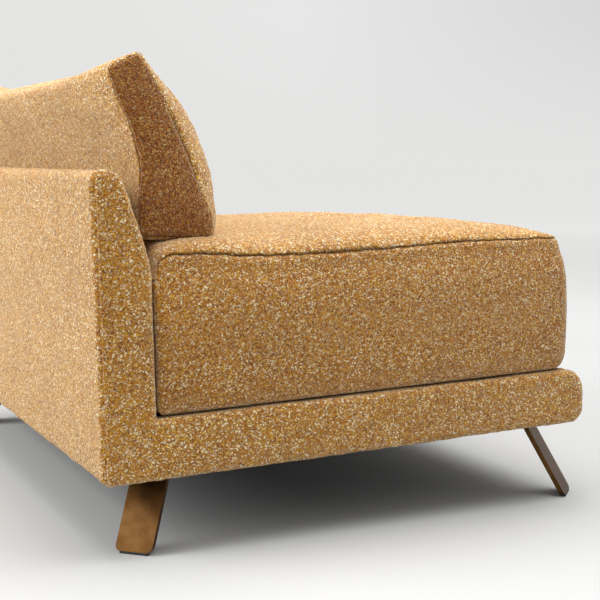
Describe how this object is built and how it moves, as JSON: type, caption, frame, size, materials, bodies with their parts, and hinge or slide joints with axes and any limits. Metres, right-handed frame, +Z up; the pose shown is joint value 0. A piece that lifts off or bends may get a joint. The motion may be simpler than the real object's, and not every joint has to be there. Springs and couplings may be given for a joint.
{
  "type": "upholstered storage seat",
  "caption": "Armless upholstered seat with a low back, loose back cushion, splayed blade legs and a storage bay under a seat that lifts up and forward.",
  "frame": {"origin": "centre of the bounding box, on the floor", "axes": "+X across the seat's width, -Y towards the front, +Z up"},
  "size_m": [1.12, 0.8724, 0.7334],
  "materials": {
    "boucle_upholstery": "loop-textured melange of ochre, brown and cream",
    "frame_timber": "planed beech",
    "birch_ply": "sanded plywood",
    "dust_cloth": "black nonwoven cloth",
    "leg_bronze": "brushed bronze",
    "black_rubber": "matt",
    "zinc_steel": "zinc plated",
    "fastener_steel": "bright plated",
    "strut_black": "black paint",
    "strut_chrome": "polished",
    "zip_plastic": "moulded coil",
    "zip_metal": "cast, lightly worn"
  },
  "bodies": {
    "base": {"back_end_pad_left": "boucle_upholstery", "back_end_pad_right": "boucle_upholstery", "back_inner_board": "birch_ply", "back_inner_pad": "boucle_upholstery", "back_outer_board": "birch_ply", "back_outer_pad": "boucle_upholstery", "back_posts": "frame_timber", "back_top_pad": "boucle_upholstery", "back_top_rail": "frame_timber", "base_bracket_left": "zinc_steel", "base_bracket_right": "zinc_steel", "base_bracket_screws": "fastener_steel", "base_front_pad": "boucle_upholstery", "base_front_rail": "frame_timber", "base_left_rail": "frame_timber", "base_pivot_pins": "fastener_steel", "base_rear_rail": "frame_timber", "base_right_rail": "frame_timber", "base_rim_pads": "boucle_upholstery", "base_side_pad_left": "boucle_upholstery", "base_side_pad_right": "boucle_upholstery", "corner_blocks": "frame_timber", "dust_cover": "dust_cloth", "leg_front_left": "leg_bronze", "leg_front_right": "leg_bronze", "leg_glides": "black_rubber", "leg_rear_left": "leg_bronze", "leg_rear_right": "leg_bronze", "leg_screws": "fastener_steel", "storage_floor": "birch_ply"},
    "front_arms": {"front_arm_left": "zinc_steel", "front_arm_right": "zinc_steel"},
    "rear_arms": {"rear_arm_left": "zinc_steel", "rear_arm_right": "zinc_steel"},
    "seat_lid": {"lid_board_front": "frame_timber", "lid_board_left": "frame_timber", "lid_board_rear": "frame_timber", "lid_board_right": "frame_timber", "lid_bracket_left": "zinc_steel", "lid_bracket_right": "zinc_steel", "lid_bracket_screws": "fastener_steel", "lid_bumpers": "black_rubber", "lid_pivot_pins": "fastener_steel", "lid_side_pads": "boucle_upholstery", "seat_deck": "birch_ply", "seat_foam": "boucle_upholstery"},
    "strut_tubes": {"strut_tube_left": "strut_black", "strut_tube_right": "strut_black"},
    "strut_rods": {"strut_rod_left": "strut_chrome", "strut_rod_right": "strut_chrome"},
    "back_cushion": {"back_cushion": "boucle_upholstery", "zip_chain": "zip_plastic"},
    "zip_slider": {"zip_slider": "zip_metal"}
  },
  "joints": [
    {"name": "lift_front_arms", "type": "hinge", "parent": "base", "child": "front_arms", "pos_m": [0, -0.28818, 0.17518], "axis": [1, 0, 0], "range_deg": [0, 60]},
    {"name": "lift_rear_arms", "type": "hinge", "parent": "base", "child": "rear_arms", "pos_m": [0, 0.00235, 0.16788], "axis": [1, 0, 0], "range_deg": [0, 60]},
    {"name": "lid_level", "type": "hinge", "parent": "front_arms", "child": "seat_lid", "pos_m": [0, -0.01292, 0.22649], "axis": [1, 0, 0], "range_deg": [-60, 0]},
    {"name": "strut_swing", "type": "hinge", "parent": "base", "child": "strut_tubes", "pos_m": [0, -0.26867, 0.15239], "axis": [1, 0, 0], "range_deg": [0, 60]},
    {"name": "strut_extend", "type": "slide", "parent": "strut_tubes", "child": "strut_rods", "axis": [0, 0.957, 0.2902], "range_m": [0, 0.03004]},
    {"name": "cushion_lift_off", "type": "slide", "parent": "seat_lid", "child": "back_cushion", "axis": [0, 0.0251, 0.9997], "range_m": [0, 0.3]},
    {"name": "zip_pull", "type": "slide", "parent": "back_cushion", "child": "zip_slider", "axis": [1, 0, 0], "range_m": [0, 0.766]}
  ],
  "couplings": [
    {"joint": "lift_rear_arms", "follows": "lift_front_arms", "ratio": 1},
    {"joint": "lid_level", "follows": "lift_front_arms", "ratio": -1},
    {"joint": "strut_swing", "follows": "lift_front_arms", "ratio": 0.98818},
    {"joint": "strut_extend", "follows": "lift_front_arms", "m_per_rad": 0.028494}
  ]
}
